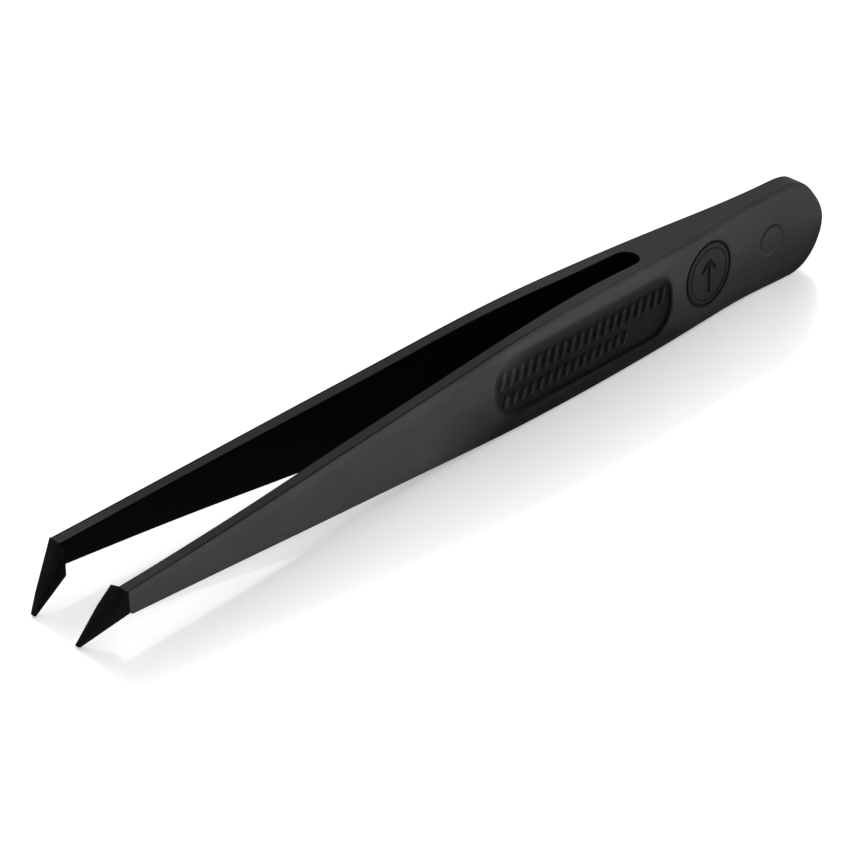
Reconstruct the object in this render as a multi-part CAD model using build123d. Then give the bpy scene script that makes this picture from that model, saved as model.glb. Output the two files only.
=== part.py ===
from build123d import *
import math
import os

# Precision tweezers with two sprung arms and angled needle tips.
# Frame: millimetres, +Z up, tips towards -X, rear end towards +X, the plane
# Y = 0 is the plane of symmetry. Right arm at +Y, left arm at -Y. The tweezers
# stand on edge: both tip points and the rear heel touch Z = 0.

# ---- driving dimensions (mm) ----
TOTAL_LENGTH = 115.0          # tip point to rear end
ARM_FRONT = 5.1               # arms end this far behind the tip points
FLEXURE_FRONT = 72.0          # where the bending root of each arm begins
FLEXURE_REAR = 83.6           # where it runs into the solid rear block
SLOT_END_CENTRE = 82.5        # centre of the round slot end
SLOT_HALF_WIDTH = 1.60        # half the slot width at its round end
REAR_HALF_THICKNESS = 1.43    # half thickness of the flat rear tab
HEEL_FROM, HEEL_TO = 106.6, 109.1   # flat the tweezers stand on, at the rear

RECESS_DEPTH = 0.35           # recessed grip panel on each outer face
RECESS_FROM, RECESS_TO = 57.9, 87.4
RECESS_LOW, RECESS_HIGH = 2.25, 10.20
RECESS_RADIUS = 3.4

DIAL_X, DIAL_Z = 94.05, 6.60  # round moulding-insert groove behind the panel
DIAL_RADIUS, DIAL_GROOVE, DIAL_DEPTH = 4.15, 0.35, 0.22
PIN_X, PIN_Z = 105.8, 6.3     # shallow ejector-pin witness near the rear
PIN_RADIUS, PIN_GROOVE, PIN_DEPTH = 2.1, 0.30, 0.12

TANG_LENGTH, TANG_THICK, TANG_HEIGHT = 4.3, 0.80, 1.30  # tip tang in its arm
TANG_Y, TANG_Z = 6.05, 4.60

# Distance from the tips, then the size there.
OUTER_HALF_WIDTH = [(0.0, 7.22), (5.3, 7.00), (13.7, 6.68), (22.2, 6.32),
                    (39.0, 5.51), (55.9, 4.665), (72.8, 3.83), (81.2, 3.365),
                    (85.5, 3.09), (89.7, 2.76), (93.9, 2.36), (98.1, 1.94),
                    (102.3, 1.60), (106.0, 1.45), (109.0, 1.43)]
INNER_HALF_WIDTH = [(0.0, 5.33), (5.3, 5.21), (13.7, 4.96), (22.2, 4.62),
                    (30.6, 4.165), (39.0, 3.685), (47.5, 3.265), (55.9, 2.88),
                    (64.4, 2.41), (70.0, 2.025), (74.0, 1.77), (78.0, 1.635),
                    (82.5, 1.60)]
TOP_HEIGHT = [(0.0, 5.68), (5.3, 6.11), (13.7, 6.84), (22.2, 7.63), (30.6,
              8.46), (39.0, 9.285), (47.5, 10.10), (55.9, 10.95), (60.1,
              11.34), (64.4, 11.65), (68.6, 11.875), (74.0, 12.03), (81.2,
              12.13), (89.7, 12.20), (98.1, 12.345), (107.5, 12.53)]
REAR_OUTLINE = [(107.5, 12.53), (110.75, 12.11), (113.29, 9.75), (114.93,
                6.35), (114.01, 2.79), (111.84, 0.67), (109.1, 0.0)]
BOTTOM_HEIGHT = [(106.6, 0.0), (102.3, 0.171), (98.1, 0.278), (93.9, 0.29),
                 (89.7, 0.255), (85.5, 0.205), (81.2, 0.145), (77.0, 0.095),
                 (72.8, 0.075), (68.6, 0.092), (64.4, 0.15), (60.1, 0.265),
                 (55.9, 0.46), (47.5, 0.936), (39.0, 1.422), (30.6, 1.888),
                 (22.2, 2.364), (13.7, 2.8), (5.3, 3.197), (0.0, 3.457)]

# Corner points of the right tip (distance from the point, Y, Z).
TIP_POINTS = [(5.14, 6.99, 6.07), (5.14, 5.24, 6.07), (4.84, 3.91, 5.64),
              (3.18, 3.72, 3.95), (1.17, 3.58, 1.50), (0.00, 3.55, 0.16),
              (0.00, 4.09, 0.22), (1.32, 4.92, 1.82), (3.26, 5.96, 3.95),
              (4.74, 3.91, 2.88), (2.38, 3.72, 1.45), (4.95, 6.96, 3.45),
              (2.42, 5.50, 1.92), (5.14, 6.95, 3.36), (5.14, 5.26, 3.32),
              (0.33, 3.60, 0.00), (0.33, 4.05, 0.00)]


def at(distance):
    """X position of a point this far behind the tip points."""
    return distance - TOTAL_LENGTH / 2


def plan_area(inset):
    """Plan outline of both arms and the rear block, inset from the outer faces."""
    side = [Vector(at(d), w - inset) for d, w in OUTER_HALF_WIDTH]
    rear = Vector(at(TOTAL_LENGTH + 1), REAR_HALF_THICKNESS - inset)
    other = [Vector(p.X, -p.Y) for p in side]
    rear_other = Vector(rear.X, -rear.Y)
    with BuildSketch(Plane.XY) as sketch:
        with BuildLine():
            Spline(*side, tangents=[(1, -0.0396), (1, 0)])
            Line(side[-1], rear)
            Line(rear, rear_other)
            Line(rear_other, other[-1])
            Spline(*other[::-1], tangents=[(-1, 0), (-1, -0.0396)])
            Line(other[0], side[0])
        make_face()
    return sketch.sketch


def slot_area():
    """Gap between the arms, closed by a half round at the rear."""
    side = [Vector(at(d), w) for d, w in INNER_HALF_WIDTH]
    other = [Vector(p.X, -p.Y) for p in side]
    front = Vector(at(-3), side[0].Y)
    front_other = Vector(front.X, -front.Y)
    with BuildSketch(Plane.XY) as sketch:
        with BuildLine():
            Line(front, side[0])
            Spline(*side, tangents=[(1, -0.02), (1, 0)])
            ThreePointArc(side[-1], (at(SLOT_END_CENTRE + SLOT_HALF_WIDTH), 0), other[-1])
            Spline(*other[::-1], tangents=[(-1, 0), (-1, -0.02)])
            Line(other[0], front_other)
            Line(front_other, front)
        make_face()
    return sketch.sketch


def side_area():
    """Side outline, drawn in X and Z."""
    top = [Vector(at(d), h) for d, h in TOP_HEIGHT]
    rear = [Vector(at(d), h) for d, h in REAR_OUTLINE]
    low = [Vector(at(d), h) for d, h in BOTTOM_HEIGHT]
    with BuildSketch(Plane.XZ) as sketch:
        with BuildLine():
            Spline(*top, tangents=[(1, 0.085), (1, 0.012)])
            Spline(*rear, tangents=[(1, 0.0), (-1, 0.0)])
            Line(rear[-1], low[0])
            Spline(*low, tangents=[(-1, 0.02), (-1, 0.047)])
            Line(low[-1], top[0])
        make_face()
    return sketch.sketch


def through(area, reach=12):
    """Prism both ways along Y from an area drawn in X and Z."""
    return extrude(area, amount=reach, both=True)


def shell_cut(area, depth):
    """What an area drawn in X and Z takes off both outer faces, to a depth."""
    core = extrude(plan_area(depth), amount=40, both=True)
    return through(area) - core


def round_groove(x, z, radius, width):
    ring = Circle(radius) - Circle(radius - width)
    return Plane.XZ * Pos(at(x), z) * ring


def slab(x0, x1, y0=-20, y1=20):
    """Block of space between two distances from the tips."""
    return Pos((at(x0) + at(x1)) / 2, (y0 + y1) / 2, 6) * Box(x1 - x0, y1 - y0, 60)


# ---- the moulding: both arms, their flexures and the rear block ----
moulding = extrude(plan_area(0), amount=40, both=True) & through(side_area())
moulding = moulding - extrude(slot_area(), amount=40, both=True)

panel = Plane.XZ * Pos(
    (at(RECESS_FROM) + at(RECESS_TO)) / 2, (RECESS_LOW + RECESS_HIGH) / 2
) * RectangleRounded(RECESS_TO - RECESS_FROM, RECESS_HIGH - RECESS_LOW, RECESS_RADIUS)
moulding = moulding - shell_cut(panel, RECESS_DEPTH)
moulding = moulding - shell_cut(
    round_groove(DIAL_X, DIAL_Z, DIAL_RADIUS, DIAL_GROOVE), DIAL_DEPTH)
moulding = moulding - shell_cut(
    round_groove(PIN_X, PIN_Z, PIN_RADIUS, PIN_GROOVE), PIN_DEPTH)

rear_block = moulding & slab(FLEXURE_REAR, TOTAL_LENGTH + 5)
right_flexure = moulding & slab(FLEXURE_FRONT, FLEXURE_REAR, 0, 20)
right_arm_full = moulding & slab(ARM_FRONT, FLEXURE_FRONT, 0, 20)

# ---- right tip: a faceted point with a tang let into the end of the arm ----


def hull(points):
    """Convex solid through a list of corner points."""
    n = len(points)
    faces = []
    seen = set()
    for i in range(n):
        for j in range(i + 1, n):
            for k in range(j + 1, n):
                a, b, c = points[i], points[j], points[k]
                normal = (b - a).cross(c - a)
                if normal.length < 1e-9:
                    continue
                normal = normal.normalized()
                offsets = [(p - a).dot(normal) for p in points]
                if max(offsets) > 1e-6 and min(offsets) < -1e-6:
                    continue
                if max(offsets) > 1e-6:
                    normal = normal * -1
                on = [m for m in range(n) if abs(offsets[m]) <= 1e-6]
                if tuple(on) in seen:
                    continue
                seen.add(tuple(on))
                middle = sum((points[m] for m in on), Vector(0, 0, 0)) / len(on)
                u = (points[on[0]] - middle).normalized()
                v = normal.cross(u)
                on.sort(key=lambda m: math.atan2((points[m] - middle).dot(v), (points[m] - middle).dot(u)))
                faces.append(Face(Wire.make_polygon([points[m] for m in on], close=True)))
    return Solid(Shell(faces))


tip_solid = hull([Vector(at(d), y, z) for d, y, z in TIP_POINTS])
tang = Pos(at(ARM_FRONT) + TANG_LENGTH / 2 - 0.2, TANG_Y, TANG_Z) * Box(
    TANG_LENGTH + 0.4, TANG_THICK, TANG_HEIGHT)
tang = chamfer(tang.faces().sort_by(Axis.X)[-1].edges(), 0.18)
right_tip = (tip_solid - right_arm_full) + tang
right_arm = right_arm_full - tang

nodes = {
    "rear_block": rear_block,
    "right_flexure": right_flexure,
    "left_flexure": mirror(right_flexure, about=Plane.XZ),
    "right_arm": right_arm,
    "left_arm": mirror(right_arm, about=Plane.XZ),
    "right_tip": right_tip,
    "left_tip": mirror(right_tip, about=Plane.XZ),
}

for name, shape in nodes.items():
    solids = shape.solids()
    shape = solids[0] if len(solids) == 1 else Compound(children=list(solids))
    export_step(shape, f"parts/{name}.step")
    box = shape.bounding_box()
    print(name, len(solids), round(shape.volume, 2), shape.is_valid,
          [round(v, 2) for v in (*box.min, *box.max)])
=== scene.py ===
import math

import bmesh
import bpy
import numpy as np
from mathutils import Matrix, Vector


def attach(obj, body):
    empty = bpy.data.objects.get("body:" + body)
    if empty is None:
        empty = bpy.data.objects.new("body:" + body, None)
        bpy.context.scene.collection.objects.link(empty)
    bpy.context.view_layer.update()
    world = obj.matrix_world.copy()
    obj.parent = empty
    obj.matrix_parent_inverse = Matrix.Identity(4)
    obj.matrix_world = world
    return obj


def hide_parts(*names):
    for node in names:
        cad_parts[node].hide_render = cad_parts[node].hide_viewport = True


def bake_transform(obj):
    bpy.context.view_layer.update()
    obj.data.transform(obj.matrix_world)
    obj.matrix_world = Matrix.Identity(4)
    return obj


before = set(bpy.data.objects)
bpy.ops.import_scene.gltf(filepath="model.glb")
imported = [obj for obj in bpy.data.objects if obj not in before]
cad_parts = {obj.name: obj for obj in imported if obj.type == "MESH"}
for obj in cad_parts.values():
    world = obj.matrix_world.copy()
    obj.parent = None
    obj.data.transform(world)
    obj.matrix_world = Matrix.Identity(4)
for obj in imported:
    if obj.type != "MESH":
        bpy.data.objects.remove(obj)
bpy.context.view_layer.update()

# ---------------------------------------------------------------- dimensions
# Millimetres. D is the distance behind the tip points, X = D - 57.5.
LENGTH = 115.0
ARM_FRONT = 5.1
SLOT_C, SLOT_R = 82.5, 1.60
OUTER_ROUND, INNER_ROUND = 0.38, 0.20

OUTER = [(0.0, 7.22), (5.3, 7.00), (13.7, 6.68), (22.2, 6.32), (39.0, 5.51),
         (55.9, 4.665), (72.8, 3.83), (81.2, 3.365), (85.5, 3.09), (89.7,
         2.76), (93.9, 2.36), (98.1, 1.94), (102.3, 1.60), (106.0, 1.45),
         (109.0, 1.43), (116.0, 1.43)]
INNER = [(0.0, 5.33), (5.3, 5.21), (13.7, 4.96), (22.2, 4.62), (30.6, 4.165),
         (39.0, 3.685), (47.5, 3.265), (55.9, 2.88), (64.4, 2.41), (70.0,
         2.025), (74.0, 1.77), (78.0, 1.635), (82.5, 1.60)]
TOP = [(0.0, 5.68), (5.3, 6.11), (13.7, 6.84), (22.2, 7.63), (30.6, 8.46),
       (39.0, 9.285), (47.5, 10.10), (55.9, 10.95), (60.1, 11.34), (64.4,
       11.65), (68.6, 11.875), (74.0, 12.03), (81.2, 12.13), (89.7, 12.20),
       (98.1, 12.345), (107.5, 12.53)]
REAR = [(107.5, 12.53), (110.75, 12.11), (113.29, 9.75), (114.93, 6.35),
        (114.01, 2.79), (111.84, 0.67), (109.1, 0.0)]
BOTTOM = [(0.0, 3.457), (5.3, 3.197), (13.7, 2.8), (22.2, 2.364), (30.6,
          1.888), (39.0, 1.422), (47.5, 0.936), (55.9, 0.46), (60.1, 0.265),
          (64.4, 0.15), (68.6, 0.092), (72.8, 0.075), (77.0, 0.095), (81.2,
          0.145), (85.5, 0.205), (89.7, 0.255), (93.9, 0.29), (98.1, 0.278),
          (102.3, 0.171), (106.6, 0.0)]

PANEL = dict(x0=57.9, x1=87.4, z0=2.25, z1=10.20, r=3.4, depth=0.35)
DIAL = dict(x=94.05, z=6.60, r=4.15, groove=0.35, depth=0.22)
PIN = dict(x=105.7, z=6.3, r=2.05, groove=0.32, depth=0.12)


def spline(points, slope0=None, slope1=None):
    """Cubic curve through points: given or natural end slopes."""
    x = np.array([p[0] for p in points], float)
    y = np.array([p[1] for p in points], float)
    n, h = len(x), np.diff(x)
    A, b = np.zeros((n, n)), np.zeros(n)
    for i in range(1, n - 1):
        A[i, i - 1], A[i, i], A[i, i + 1] = h[i - 1], 2 * (h[i - 1] + h[i]), h[i]
        b[i] = 6 * ((y[i + 1] - y[i]) / h[i] - (y[i] - y[i - 1]) / h[i - 1])
    A[0, 0] = A[-1, -1] = 1
    if slope0 is not None:
        A[0, 0], A[0, 1], b[0] = 2 * h[0], h[0], 6 * ((y[1] - y[0]) / h[0] - slope0)
    if slope1 is not None:
        A[-1, -1], A[-1, -2], b[-1] = 2 * h[-1], h[-1], 6 * (slope1 - (y[-1] - y[-2]) / h[-1])
    m = np.linalg.solve(A, b)

    def at(q):
        q = np.asarray(q, float)
        i = np.clip(np.searchsorted(x, q) - 1, 0, n - 2)
        t0, t1 = x[i + 1] - q, q - x[i]
        return (m[i] * t0**3 + m[i + 1] * t1**3) / (6 * h[i]) + (
            y[i] / h[i] - m[i] * h[i] / 6) * t0 + (y[i + 1] / h[i] - m[i + 1] * h[i] / 6) * t1
    return at


outer_y = spline(OUTER, -0.0396, 0.0)
inner_y = spline(INNER, -0.02, 0.0)
top_z = spline(TOP, 0.085, 0.012)
bottom_z = spline(BOTTOM, -0.047, -0.02)

# rear outline as a curve in its own parameter, sampled finely
_r = np.array(REAR)
_c = np.concatenate([[0], np.cumsum(np.hypot(*np.diff(_r, axis=0).T))])
_rx = spline(list(zip(_c, _r[:, 0])), 1.0, -1.0)
_rz = spline(list(zip(_c, _r[:, 1])), 0.012, 0.0)
_t = np.linspace(0, _c[-1], 3001)
_px, _pz = _rx(_t), _rz(_t)
_k = int(np.argmax(_px))
REAR_X, REAR_Z = float(_px[_k]), float(_pz[_k])


def top_at(d):
    d = np.asarray(d, float)
    return np.where(d <= 107.5, top_z(np.minimum(d, 107.5)), np.interp(d, _px[: _k + 1], _pz[: _k + 1]))


def bottom_at(d):
    d = np.asarray(d, float)
    low = np.where(d <= 106.6, bottom_z(np.minimum(d, 106.6)), 0.0)
    rear = np.interp(d, _px[_k:][::-1], _pz[_k:][::-1])
    return np.where(d <= REAR[-1][0], low, rear)


_line = np.concatenate([
    np.stack([np.linspace(100, 107.5, 200), top_z(np.linspace(100, 107.5, 200))], 1),
    np.stack([_px, _pz], 1)[::3],
    np.stack([np.linspace(REAR[-1][0], 106.6, 60), np.zeros(60)], 1),
    np.stack([np.linspace(106.6, 100, 160), bottom_z(np.linspace(106.6, 100, 160))], 1)])


def edge_distance(d, z):
    """How far inside the side outline a point on the outer face lies."""
    d, z = np.broadcast_arrays(np.asarray(d, float), np.asarray(z, float))
    near = np.minimum(top_at(d) - z, z - bottom_at(d))
    near = np.maximum(near, 0)
    far = d > 104
    if far.any():
        q = np.stack([d[far], z[far]], 1)
        out = np.empty(len(q))
        for i in range(0, len(q), 4000):
            s = q[i:i + 4000, None, :] - _line[None]
            out[i:i + 4000] = np.sqrt((s**2).sum(2).min(1))
        near = near.copy()
        near[far] = np.minimum(out, near[far] + 1e-9)
    return near


def round_in(dist, r):
    """Drop of a quarter-round edge of radius r at this distance from the edge."""
    u = np.clip(r - dist, 0, r)
    return r - np.sqrt(np.maximum(r * r - u * u, 0))


def smooth(a, b, x):
    t = np.clip((x - a) / (b - a), 0, 1)
    return t * t * (3 - 2 * t)


def panel_distance(d, z):
    """Signed distance to the panel's rounded outline, negative inside."""
    cx, cz = (PANEL["x0"] + PANEL["x1"]) / 2, (PANEL["z0"] + PANEL["z1"]) / 2
    hx, hz, r = (PANEL["x1"] - PANEL["x0"]) / 2, (PANEL["z1"] - PANEL["z0"]) / 2, PANEL["r"]
    qx, qz = np.abs(d - cx) - hx + r, np.abs(z - cz) - hz + r
    return np.hypot(np.maximum(qx, 0), np.maximum(qz, 0)) + np.minimum(np.maximum(qx, qz), 0) - r


def bar(d, z, x, zc, length, width, lean):
    """Distance to a short leaning bar's outline, negative inside."""
    ux, uz = math.sin(lean), math.cos(lean)
    px, pz = d - x, z - zc
    t = np.clip(px * ux + pz * uz, -length / 2 + width / 2, length / 2 - width / 2)
    return np.hypot(px - t * ux, pz - t * uz) - width / 2


RIBS = []
for n in range(20):
    RIBS.append((59.3 + 1.40 * n, 7.10, 2.2))
for n in range(15):
    RIBS.append((59.8 + 1.40 * n, 4.25, 1.6))


def relief(d, z):
    """Depth below the plain outer face, and masks: floor, ribs, marks, dial."""
    sd = panel_distance(d, z)
    soft = 0.12 + 0.50 * smooth(70.0, 58.0, d) + 0.42 * smooth(8.0, 10.0, z)
    floor = smooth(soft, -soft, sd)
    depth = PANEL["depth"] * floor
    ribs = np.zeros_like(sd)
    inside = (sd < 0.4)
    if inside.any():
        dd, zz = d[inside], z[inside]
        top = np.zeros_like(dd)
        for x, zc, length in RIBS:
            near = np.abs(dd - x) < 1.4
            if near.any():
                s = bar(dd[near], zz[near], x, zc, length, 0.58, 0.30)
                top[near] = np.maximum(top[near], smooth(0.09, -0.09, s))
        ribs[inside] = top
    depth = depth - 0.20 * ribs * floor
    rr = np.hypot(d - DIAL["x"], z - DIAL["z"])
    mid, half = DIAL["r"] - DIAL["groove"] / 2, DIAL["groove"] / 2
    ring = smooth(half + 0.05, half - 0.08, np.abs(rr - mid))
    depth = depth + DIAL["depth"] * smooth(half + 0.10, half - 0.13, np.abs(rr - mid))
    thin = smooth(0.13, 0.03, np.abs(rr - 3.25))
    arrow = np.minimum(1, smooth(0.10, -0.06, bar(d, z, DIAL["x"], DIAL["z"] - 0.25, 4.3, 0.42, 0.0))
                       + smooth(0.10, -0.06, bar(d, z, DIAL["x"] - 0.62, DIAL["z"] + 1.12, 1.85, 0.40, 0.72))
                       + smooth(0.10, -0.06, bar(d, z, DIAL["x"] + 0.62, DIAL["z"] + 1.12, 1.85, 0.40, -0.72)))
    depth = depth + 0.07 * thin + 0.12 * arrow
    pr = np.hypot(d - PIN["x"], z - PIN["z"])
    mid, half = PIN["r"] - PIN["groove"] / 2, PIN["groove"] / 2
    depth = depth + PIN["depth"] * smooth(half + 0.08, half - 0.10, np.abs(pr - mid))
    dial = smooth(3.95, 3.55, rr)
    return depth, floor, ribs * floor, np.clip(ring + thin * 0.4 + arrow * 0.7, 0, 1), dial


# Painted shade and painted highlight in the base colour: the moulding is painted
# darkest low down and along the belly, where shade from the floor falls, and
# palest along its upper edges as a painted highlight. Tones are display values, 0 to 255.
BASE_MAX = 0.07
HEIGHTS = [0.0, 0.06, 0.15, 0.30, 0.45, 0.60, 0.75, 0.88, 0.95, 1.0]
FRONT_PAINTED_SHADE = [54, 58, 60.5, 62, 62.5, 63, 63.5, 66, 69, 70]
REAR_PAINTED_SHADE = [34, 38, 43, 47.5, 52.5, 58.5, 61, 62.5, 64, 60]


def as_base(tone, shine):
    """Base colour, as a share of BASE_MAX, that shows this tone over this shine."""
    v = (np.asarray(tone, float) / 255 + 0.055) / 1.055
    return np.clip((v**2.4 - shine) / 0.95, 0.0006, BASE_MAX) / BASE_MAX


def outer_painted_shade(d, z, floor, ribs, mark, dial):
    T, B = top_at(d), bottom_at(d)
    h = np.clip((z - B) / np.maximum(T - B, 0.5), 0, 1)
    back = smooth(45.0, 57.0, d)
    tone = np.interp(h, HEIGHTS, FRONT_PAINTED_SHADE) * (1 - back) + np.interp(h, HEIGHTS, REAR_PAINTED_SHADE) * back
    # Painted shade low on the belly near the floor, and a painted highlight below its top edge.
    belly_painted_shade = smooth(53.0, 60.0, d) * smooth(92.0, 85.0, d)
    tone = tone - 13 * belly_painted_shade * smooth(0.26, 0.08, h) + 5 * belly_painted_shade * smooth(0.80, 0.93, h)
    # Painted shade in the panel's recess: its floor is painted dark, darker low down and lighter at its left
    # end; the rib tops are painted lighter, out of that shade.
    low = 25 + 20 * smooth(6.8, 10.0, z) + (8 + 12 * smooth(5.0, 9.0, z)) * smooth(66.0, 57.5, d)
    floor = floor * smooth(10.2, 9.2, z)
    tone = tone * (1 - floor) + (low + 15 * ribs) * floor
    # Painted shade in the dial's grooves and marks; inside the dial the tone is darkened by a fifth.
    tone = tone * (1 - 0.20 * dial) * (1 - 0.80 * mark)
    # Painted shade on the pin ring's upper wall and painted light on its lower wall.
    pr = np.hypot(d - PIN["x"], z - PIN["z"])
    rim = smooth(0.34, 0.08, np.abs(pr - PIN["r"] + PIN["groove"] / 2))
    up = (z - PIN["z"]) / PIN["r"]
    tone = tone - rim * np.where(up > 0, 15 * up, 13 * up)
    return as_base(tone, 0.0109 + 0.0025 * smooth(60.0, 90.0, d))


# ------------------------------------------------------------- body moulding
def stations():
    """(D at the rim's inner end, turn of the slot wall) for each section."""
    s = [(d, 0.0) for d in np.concatenate([
        ARM_FRONT + np.array([0.0, 0.03, 0.08, 0.16, 0.26, 0.38]),
        np.arange(5.6, 56.5, 0.8),
        np.arange(56.8, SLOT_C - 0.05, 0.13), [SLOT_C]])]
    reach = SLOT_R + INNER_ROUND
    s += [(SLOT_C + reach * math.sin(a), a) for a in np.linspace(0, math.pi / 2, 19)[1:]]
    rear = SLOT_C + reach
    s += [(d, None) for d in np.concatenate([
        np.arange(rear + 0.06, 89.4, 0.13), np.arange(89.45, 98.75, 0.08),
        np.arange(98.85, 107.5, 0.13)])]
    arc = np.concatenate([[0], np.cumsum(np.hypot(np.diff(_px[: _k + 1]), np.diff(_pz[: _k + 1])))])
    at = np.interp(np.linspace(0, arc[-1], 62), arc, _px[: _k + 1])
    s += [(d, None) for d in at]
    return s


EDGE = np.array([0.0, 0.010, 0.036, 0.08, 0.14, 0.21, 0.29, 0.38])
N_WALL = 96          # rows between the rounded edges of the outer face
IN_EDGE = np.array([0.0, 0.01, 0.035, 0.075, 0.13, 0.20])
N_IN = 8
RIM = np.array([0.0, 0.02, 0.04, 0.06, 0.08, 0.10, 0.14, 0.20, 0.30])
N_RIM = 9


def wall_rows(height, edge, n):
    """Depths below the top edge for the rows down a wall."""
    k = min(1.0, height / (2.6 * edge[-1]))
    e = edge * k
    mid = np.linspace(e[-1], height - e[-1], n + 2)[1:-1]
    return np.concatenate([e, mid, (height - e)[::-1]])


def outer_rows(d, height):
    """As wall_rows, with rows drawn to the panel's upper and lower edges."""
    rows = wall_rows(height, EDGE, N_WALL)
    w = float(smooth(42.0, 57.0, d) * smooth(91.0, 87.9, d))
    if w > 0:
        at = min(max(d, PANEL["x0"]), PANEL["x1"])
        T, B = float(top_at(at)), float(bottom_at(at))
        s = height / (T - B)
        a, b, first, last = (T - PANEL["z1"]) * s, (T - PANEL["z0"]) * s, EDGE[-1], height - EDGE[-1]
        own = np.concatenate([
            np.linspace(first, a - 0.3 * s, 9)[1:], np.linspace(a - 0.3 * s, a + 0.3 * s, 11)[1:],
            np.linspace(a + 0.3 * s, b - 0.3 * s, 57)[1:], np.linspace(b - 0.3 * s, b + 0.3 * s, 11)[1:],
            np.linspace(b + 0.3 * s, last, 14)[1:-1]])
        k = len(EDGE)
        rows[k:-k] = rows[k:-k] * (1 - w) + own * w
    return rows


def section(d, turn):
    """Closed loop of points round one half's section, right side, from the outer face's top."""
    T, B, W = float(top_at(d)), float(bottom_at(d)), float(outer_y(d))
    H = max(T - B, 0.0)
    loop = []
    drop = outer_rows(d, H)
    z = T - drop
    dist = edge_distance(np.full_like(z, d), z)
    if H > 0:
        dist[0] = dist[-1] = 0.0
    else:
        dist[:] = 0.0
    across = np.full_like(z, d)
    depth, floor, ribs, groove, dial = relief(across, z)
    tone = list(outer_painted_shade(across, z, floor, ribs, groove, dial))
    y = W - round_in(dist, OUTER_ROUND) - depth
    for i in range(len(z)):
        loop.append((d, y[i], z[i]))
    # the rim's inner end, and the inner wall
    if turn is None:
        inner = [(d, 0.0)] * (2 * len(IN_EDGE) + N_IN)
        rim_in = 0.0
    elif turn == 0.0:
        base = float(inner_y(d))
        rim_in = base + INNER_ROUND
    else:
        rim_in = (SLOT_R + INNER_ROUND) * math.cos(turn)
    y_out = W - OUTER_ROUND
    # normal of the outline, for the rim's parting groove
    if d > 107.5 and turn is None:
        i = int(np.argmin(np.abs(_px[: _k + 1] - d)))
        j0, j1 = max(i - 3, 0), min(i + 3, len(_px) - 1)
        tx, tz = _px[j1] - _px[j0], _pz[j1] - _pz[j0]
        n_top = np.array([-tz, tx]) / math.hypot(tx, tz)
        if n_top[1] < 0 and n_top[0] < 0:
            n_top = -n_top
        if d > REAR[-1][0]:
            i = _k + int(np.argmin(np.abs(_px[_k:] - d)))
            j0, j1 = max(i - 3, 0), min(i + 3, len(_px) - 1)
            tx, tz = _px[j1] - _px[j0], _pz[j1] - _pz[j0]
            n_low = np.array([-tz, tx]) / math.hypot(tx, tz)
        else:
            n_low = np.array([0.0, -1.0])
    else:
        n_top, n_low = np.array([0.0, 1.0]), np.array([0.0, -1.0])
    span = y_out - rim_in
    k = min(1.0, span / 0.9)
    steps = np.concatenate([RIM * k, np.linspace(RIM[-1] * k, span, N_RIM + 2)[1:-1]])
    line = smooth(0.050, 0.015, np.abs(steps - 0.03)) * (1 if k == 1 else 0)
    sunk = 0.045 * line
    # Painted light and shade: the top rim's tone stands in for the reflected sky, lighter towards the front
    # and the rear; the rows along the top outer edge are painted darker as shade.
    shine = 0.0045 + 0.003 * float(smooth(55.0, 75.0, d))
    upper = 51 + 7 * float(smooth(16.0, 8.0, d)) + 10 * float(smooth(58.0, 70.0, d))
    painted_edge_shade = 0.36 - 0.26 * float(smooth(60.0, 70.0, d))
    for i in (0, 1):
        tone[i] = float(as_base(upper * (1 - painted_edge_shade), shine))
    tone[2] = float(as_base(upper, shine))
    # bottom rim, outer to inner, painted a dark tone as shade
    for s_, q in zip(steps[1:], sunk[1:]):
        loop.append((d - n_low[0] * q, y_out - s_, B - n_low[1] * q))
        tone.append(float(as_base(42, 0.006)))
    # inner wall, bottom to top: its lower half painted a dark tone as shade, its upper half as the top rim
    drops = wall_rows(H, IN_EDGE, N_IN)[::-1]
    for q in drops:
        zz = T - q
        tone.append(float(as_base(upper if q < H / 2 else 42, shine)))
        f = float(round_in(np.array(min(q, H - q) if H > 0 else 0.0), INNER_ROUND))
        if turn is None:
            loop.append((d, 0.0, zz))
        elif turn == 0.0:
            loop.append((d, base + f, zz))
        else:
            loop.append((SLOT_C + (SLOT_R + f) * math.sin(turn), (SLOT_R + f) * math.cos(turn), zz))
    # top rim, inner to outer, painted darker along the parting line as shade
    for s_, q, dark in zip(steps[1:][::-1], sunk[1:][::-1], line[1:][::-1]):
        loop.append((d - n_top[0] * q, y_out - s_, T - n_top[1] * q))
        tone.append(float(as_base(upper * (1 - painted_edge_shade * dark), shine)))
    return np.array(loop), np.array(tone)


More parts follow.
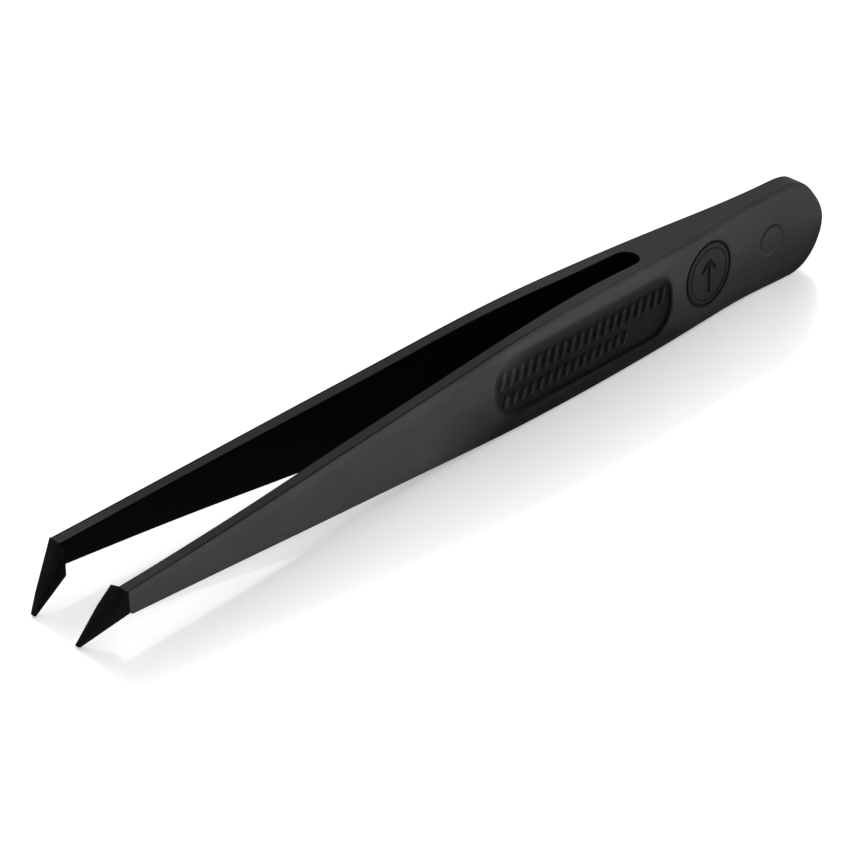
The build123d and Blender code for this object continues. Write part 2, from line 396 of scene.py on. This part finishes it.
def make_half(name, side):
    loops, tones = zip(*[section(d, a) for d, a in stations()])
    loops = [l.copy() for l in loops]
    # a small round where the arm ends against its tip
    centre = loops[0].mean(0)
    for i, inset in ((0, 0.10), (1, 0.035)):
        for axis in (1, 2):
            c = centre[axis]
            half = np.abs(loops[i][:, axis] - c).max()
            loops[i][:, axis] = c + (loops[i][:, axis] - c) * (1 - inset / half)
    n = len(loops[0])
    if side < 0:
        # the left arm ends a touch further forward, with its lower corner eased
        for loop in loops[:16]:
            d, top, low = loop[0, 0], loop[:, 2].max(), loop[:, 2].min()
            loop[:, 2] += 0.34 * smooth(5.55, 5.1, d) * smooth(0.45, 1.0, (top - loop[:, 2]) / (top - low))
            loop[:, 0] -= 0.28 * smooth(11.0, 5.1, d)
    co = np.concatenate(loops)
    co[:, 0] -= LENGTH / 2
    co[:, 1] *= side
    co *= 0.001
    wall = len(EDGE) * 2 + N_WALL
    rim = len(RIM) - 1 + N_RIM + 1
    skip = 3                      # rows of the inner rounding kept in the body's material, out of the inner wall's painted shade
    inner_from, inner_to = wall + rim - 1 + skip, wall + rim - 1 + 2 * len(IN_EDGE) + N_IN - skip
    # The inner wall's faces go in the second slot, whose material is painted shade.
    faces, painted_shade_slot = [], []
    for i in range(len(loops) - 1):
        a, b = i * n, (i + 1) * n
        for j in range(n):
            k = (j + 1) % n
            f = (a + j, a + k, b + k, b + j)
            faces.append(f if side > 0 else f[::-1])
            painted_shade_slot.append(1 if inner_from <= j < inner_to else 0)
    cap = tuple(range(n))
    faces.append(cap[::-1] if side > 0 else cap)
    painted_shade_slot.append(0)
    mesh = bpy.data.meshes.new(name)
    mesh.from_pydata([tuple(c) for c in co], [], faces)
    mesh.polygons.foreach_set("material_index", painted_shade_slot)
    # The tone attribute carries the painted shade and painted highlight of each point.
    a = mesh.attributes.new("tone", "FLOAT", "POINT")
    a.data.foreach_set("value", np.concatenate(tones).astype(np.float32))
    bm = bmesh.new()
    bm.from_mesh(mesh)
    bmesh.ops.remove_doubles(bm, verts=bm.verts, dist=2e-7)
    bmesh.ops.dissolve_degenerate(bm, edges=bm.edges, dist=1e-7)
    bmesh.ops.recalc_face_normals(bm, faces=bm.faces)
    for f in bm.faces:
        f.smooth = True
    for e in bm.edges:
        if len(e.link_faces) == 2:
            e.smooth = e.calc_face_angle(0) < math.radians(48)
    bm.to_mesh(mesh)
    bm.free()
    obj = bpy.data.objects.new(name, mesh)
    bpy.context.scene.collection.objects.link(obj)
    return obj


# -------------------------------------------------------------------- tips
TIP = [(5.14, 6.99, 6.07), (5.14, 5.24, 6.07), (4.84, 3.91, 5.64), (3.18,
       3.72, 3.95), (1.17, 3.58, 1.50), (0.00, 3.55, 0.16), (0.00, 4.09,
       0.22), (1.32, 4.92, 1.82), (3.26, 5.96, 3.95), (4.74, 3.91, 2.88),
       (2.38, 3.72, 1.45), (4.95, 6.96, 3.45), (2.42, 5.50, 1.92), (5.14,
       6.95, 3.36), (5.14, 5.26, 3.32), (0.33, 3.60, 0.00), (0.33, 4.05,
       0.00)]


def make_tip(name, side):
    mesh = bpy.data.meshes.new(name)
    bm = bmesh.new()
    for d, y, z in TIP:
        if side < 0 and d > 4.85:
            d, z = min(d - 0.28, 4.86), z if z > 5 else z + 0.22
        bm.verts.new(((d - LENGTH / 2) * 0.001, y * side * 0.001, z * 0.001))
    bmesh.ops.convex_hull(bm, input=bm.verts)
    bmesh.ops.dissolve_limit(bm, angle_limit=math.radians(1), verts=bm.verts, edges=bm.edges)
    bmesh.ops.recalc_face_normals(bm, faces=bm.faces)
    bm.to_mesh(mesh)
    bm.free()
    obj = bpy.data.objects.new(name, mesh)
    bpy.context.scene.collection.objects.link(obj)
    bev = obj.modifiers.new("edges", "BEVEL")
    bev.width = 0.00010
    bev.segments = 3
    bev.limit_method = "ANGLE"
    bev.angle_limit = math.radians(12)
    for p in mesh.polygons:
        p.use_smooth = True
    return obj


# --------------------------------------------------------------- materials
def node(tree, kind, **values):
    n = tree.nodes.new(kind)
    for key, value in values.items():
        if key in n.inputs:
            n.inputs[key].default_value = value
        else:
            setattr(n, key, value)
    return n


def plastic(name, base, base2, rough, rough2, level, grain, grain_depth, toned):
    mat = bpy.data.materials.new(name)
    mat.use_nodes = True
    t = mat.node_tree
    bsdf = t.nodes["Principled BSDF"]
    bsdf.inputs["Specular IOR Level"].default_value = level
    bsdf.inputs["Specular Tint"].default_value = (1.0, 0.985, 0.955, 1.0)
    tex = t.nodes.new("ShaderNodeTexCoord")
    flow = node(t, "ShaderNodeTexNoise", Scale=260.0, Detail=5.0, Roughness=0.6)
    stretch = node(t, "ShaderNodeMapping")
    stretch.inputs["Scale"].default_value = (0.6, 1.0, 1.0)
    t.links.new(tex.outputs["Object"], stretch.inputs["Vector"])
    t.links.new(stretch.outputs["Vector"], flow.inputs["Vector"])
    fine = node(t, "ShaderNodeTexNoise", Scale=grain, Detail=3.0, Roughness=0.55)
    t.links.new(tex.outputs["Object"], fine.inputs["Vector"])
    speck = node(t, "ShaderNodeTexVoronoi", Scale=grain * 0.6)
    t.links.new(tex.outputs["Object"], speck.inputs["Vector"])
    # colour: slow flow variation and fine fibre specks
    mix = node(t, "ShaderNodeMix", data_type="RGBA")
    mix.inputs["A"].default_value = (*base, 1)
    mix.inputs["B"].default_value = (*base2, 1)
    ramp = node(t, "ShaderNodeMapRange")
    ramp.inputs["From Min"].default_value, ramp.inputs["From Max"].default_value = 0.35, 0.68
    t.links.new(flow.outputs["Fac"], ramp.inputs["Value"])
    both = node(t, "ShaderNodeMath", operation="MULTIPLY_ADD")
    both.inputs[1].default_value, both.inputs[2].default_value = 0.55, 0.0
    t.links.new(ramp.outputs["Result"], both.inputs[0])
    add = node(t, "ShaderNodeMath", operation="MULTIPLY_ADD")
    add.inputs[1].default_value = 0.45
    t.links.new(fine.outputs["Fac"], add.inputs[0])
    t.links.new(both.outputs[0], add.inputs[2])
    t.links.new(add.outputs[0], mix.inputs["Factor"])
    colour = mix.outputs["Result"]
    # roughness
    r = node(t, "ShaderNodeMapRange")
    r.inputs["From Min"].default_value, r.inputs["From Max"].default_value = 0.3, 0.7
    r.inputs["To Min"].default_value, r.inputs["To Max"].default_value = rough, rough2
    t.links.new(flow.outputs["Fac"], r.inputs["Value"])
    rough_out = r.outputs["Result"]
    if toned:
        # Painted shade and painted highlight: the base colour is multiplied by the mesh's tone attribute.
        tone = node(t, "ShaderNodeAttribute", attribute_name="tone")
        shade = node(t, "ShaderNodeMix", data_type="RGBA", blend_type="MULTIPLY")
        shade.inputs["Factor"].default_value = 1.0
        t.links.new(colour, shade.inputs["A"])
        t.links.new(tone.outputs["Fac"], shade.inputs["B"])
        # short fibres just under the skin lighten and darken it in fine flecks
        along = node(t, "ShaderNodeMapping")
        along.inputs["Scale"].default_value = (0.65, 1.0, 1.0)
        t.links.new(tex.outputs["Object"], along.inputs["Vector"])
        fibre = node(t, "ShaderNodeTexNoise", Scale=3200.0, Detail=2.0, Roughness=0.5)
        t.links.new(along.outputs["Vector"], fibre.inputs["Vector"])
        fleck = node(t, "ShaderNodeMapRange")
        fleck.inputs["From Min"].default_value, fleck.inputs["From Max"].default_value = 0.32, 0.68
        fleck.inputs["To Min"].default_value, fleck.inputs["To Max"].default_value = 0.95, 1.05
        t.links.new(fibre.outputs["Fac"], fleck.inputs["Value"])
        flecked = node(t, "ShaderNodeMix", data_type="RGBA", blend_type="MULTIPLY")
        flecked.inputs["Factor"].default_value = 1.0
        t.links.new(shade.outputs["Result"], flecked.inputs["A"])
        t.links.new(fleck.outputs["Result"], flecked.inputs["B"])
        colour = flecked.outputs["Result"]
    t.links.new(colour, bsdf.inputs["Base Color"])
    t.links.new(rough_out, bsdf.inputs["Roughness"])
    bump = node(t, "ShaderNodeBump")
    bump.inputs["Strength"].default_value = 0.35
    bump.inputs["Distance"].default_value = grain_depth
    high = node(t, "ShaderNodeMath", operation="ADD")
    t.links.new(fine.outputs["Fac"], high.inputs[0])
    t.links.new(speck.outputs["Distance"], high.inputs[1])
    t.links.new(high.outputs[0], bump.inputs["Height"])
    t.links.new(bump.outputs["Normal"], bsdf.inputs["Normal"])
    return mat


body_mat = plastic("charcoal_moulded_plastic", (0.0600, 0.0583, 0.0560), (0.0820, 0.0800, 0.0775),
                   0.44, 0.56, 0.03, 5200.0, 0.000012, True)
# Painted shade: a near-black copy of the body plastic for the inner walls between the arms and the tips' inner
# faces, where the shade between the arms falls.
inner_shade_mat = plastic("inner_plastic_painted_shade", (0.0008, 0.0008, 0.0009), (0.0014, 0.0014, 0.0015),
                    0.55, 0.65, 0.015, 5200.0, 0.000010, False)
tip_mat = plastic("black_tip_plastic", (0.0016, 0.0016, 0.0016), (0.0040, 0.0040, 0.0040),
                  0.42, 0.55, 0.032, 4200.0, 0.000012, False)

halves = {}
for word, side in (("left", -1), ("right", 1)):
    half = make_half(word + "_body_half", side)
    for m in (body_mat, inner_shade_mat):
        half.data.materials.append(m)
    halves[word] = half
    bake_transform(half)
    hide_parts(word + "_arm", word + "_flexure", "rear_block")
    tip = make_tip(word + "_needle_tip", side)
    tip.data.materials.append(tip_mat)
    tip.data.materials.append(inner_shade_mat)
    # Painted shade: the tip's inner faces take the near-black inner material.
    for p in tip.data.polygons:
        if p.normal.y * side < -0.8:
            p.material_index = 1
    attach(tip, word + "_jaw")
    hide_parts(word + "_tip")

# ------------------------------------------------------------------- studio
floor_mesh = bpy.data.meshes.new("studio_floor")
S = 3.0
low = -0.00004               # just under the heel's flat, which would share its plane
floor_mesh.from_pydata([(-S, -S, low), (S, -S, low), (S, S, low), (-S, S, low)], [], [(0, 1, 2, 3)])
floor = bpy.data.objects.new("studio_floor", floor_mesh)
bpy.context.scene.collection.objects.link(floor)
# a white light table under a thin clear sheet: even glow, with a sharp and a soft reflection
fm = bpy.data.materials.new("studio_floor")
fm.use_nodes = True
ft = fm.node_tree
ft.nodes.remove(ft.nodes["Principled BSDF"])
glow = node(ft, "ShaderNodeEmission", Color=(0.400, 0.391, 0.411, 1), Strength=1.0)
matte = node(ft, "ShaderNodeBsdfDiffuse", Color=(0.36, 0.36, 0.36, 1))
sharp = node(ft, "ShaderNodeBsdfAnisotropic", Color=(0.14, 0.14, 0.14, 1), Roughness=0.03)
middle = node(ft, "ShaderNodeBsdfAnisotropic", Color=(0.370, 0.376, 0.362, 1), Roughness=0.33)
soft = node(ft, "ShaderNodeBsdfAnisotropic", Color=(0.25, 0.25, 0.25, 1), Roughness=0.50)
total = glow
for layer in (matte, sharp, middle, soft):
    add = ft.nodes.new("ShaderNodeAddShader")
    ft.links.new(total.outputs[0], add.inputs[0])
    ft.links.new(layer.outputs[0], add.inputs[1])
    total = add
ft.links.new(total.outputs[0], ft.nodes["Material Output"].inputs["Surface"])
floor_mesh.materials.append(fm)

world = bpy.data.worlds.new("studio")
bpy.context.scene.world = world
world.use_nodes = True
world.node_tree.nodes["Background"].inputs["Color"].default_value = (1, 1, 1, 1)
world.node_tree.nodes["Background"].inputs["Strength"].default_value = 0.62


def area(name, where, target, size, power, size_y=None):
    data = bpy.data.lights.new(name, "AREA")
    data.shape = "RECTANGLE"
    data.size, data.size_y = size, size_y or size
    data.energy = power
    obj = bpy.data.objects.new(name, data)
    bpy.context.scene.collection.objects.link(obj)
    obj.location = where
    d = Vector(target) - Vector(where)
    obj.rotation_euler = d.to_track_quat("-Z", "Y").to_euler()
    return obj


area("softbox_right", (0.62, -0.57, 0.70), (0, 0, 0), 0.6, 3.4)
area("softbox_top", (-0.2, 0.1, 1.1), (0, 0, 0), 0.9, 2.0)

# ------------------------------------------------------------------- camera
cam_data = bpy.data.cameras.new("camera")
cam = bpy.data.objects.new("camera", cam_data)
bpy.context.scene.collection.objects.link(cam)
cam_data.sensor_width = 36.0
cam_data.lens = 139.11
cam_data.clip_start, cam_data.clip_end = 0.01, 20.0
cam.matrix_world = Matrix(((0.744336, 0.365645, -0.558808, -0.210990),
                           (-0.667445, 0.379880, -0.640475, -0.235076),
                           (-0.021906, 0.849703, 0.526807, 0.196014),
                           (0, 0, 0, 1)))
bpy.context.scene.camera = cam
bpy.context.scene.view_settings.view_transform = "Standard"
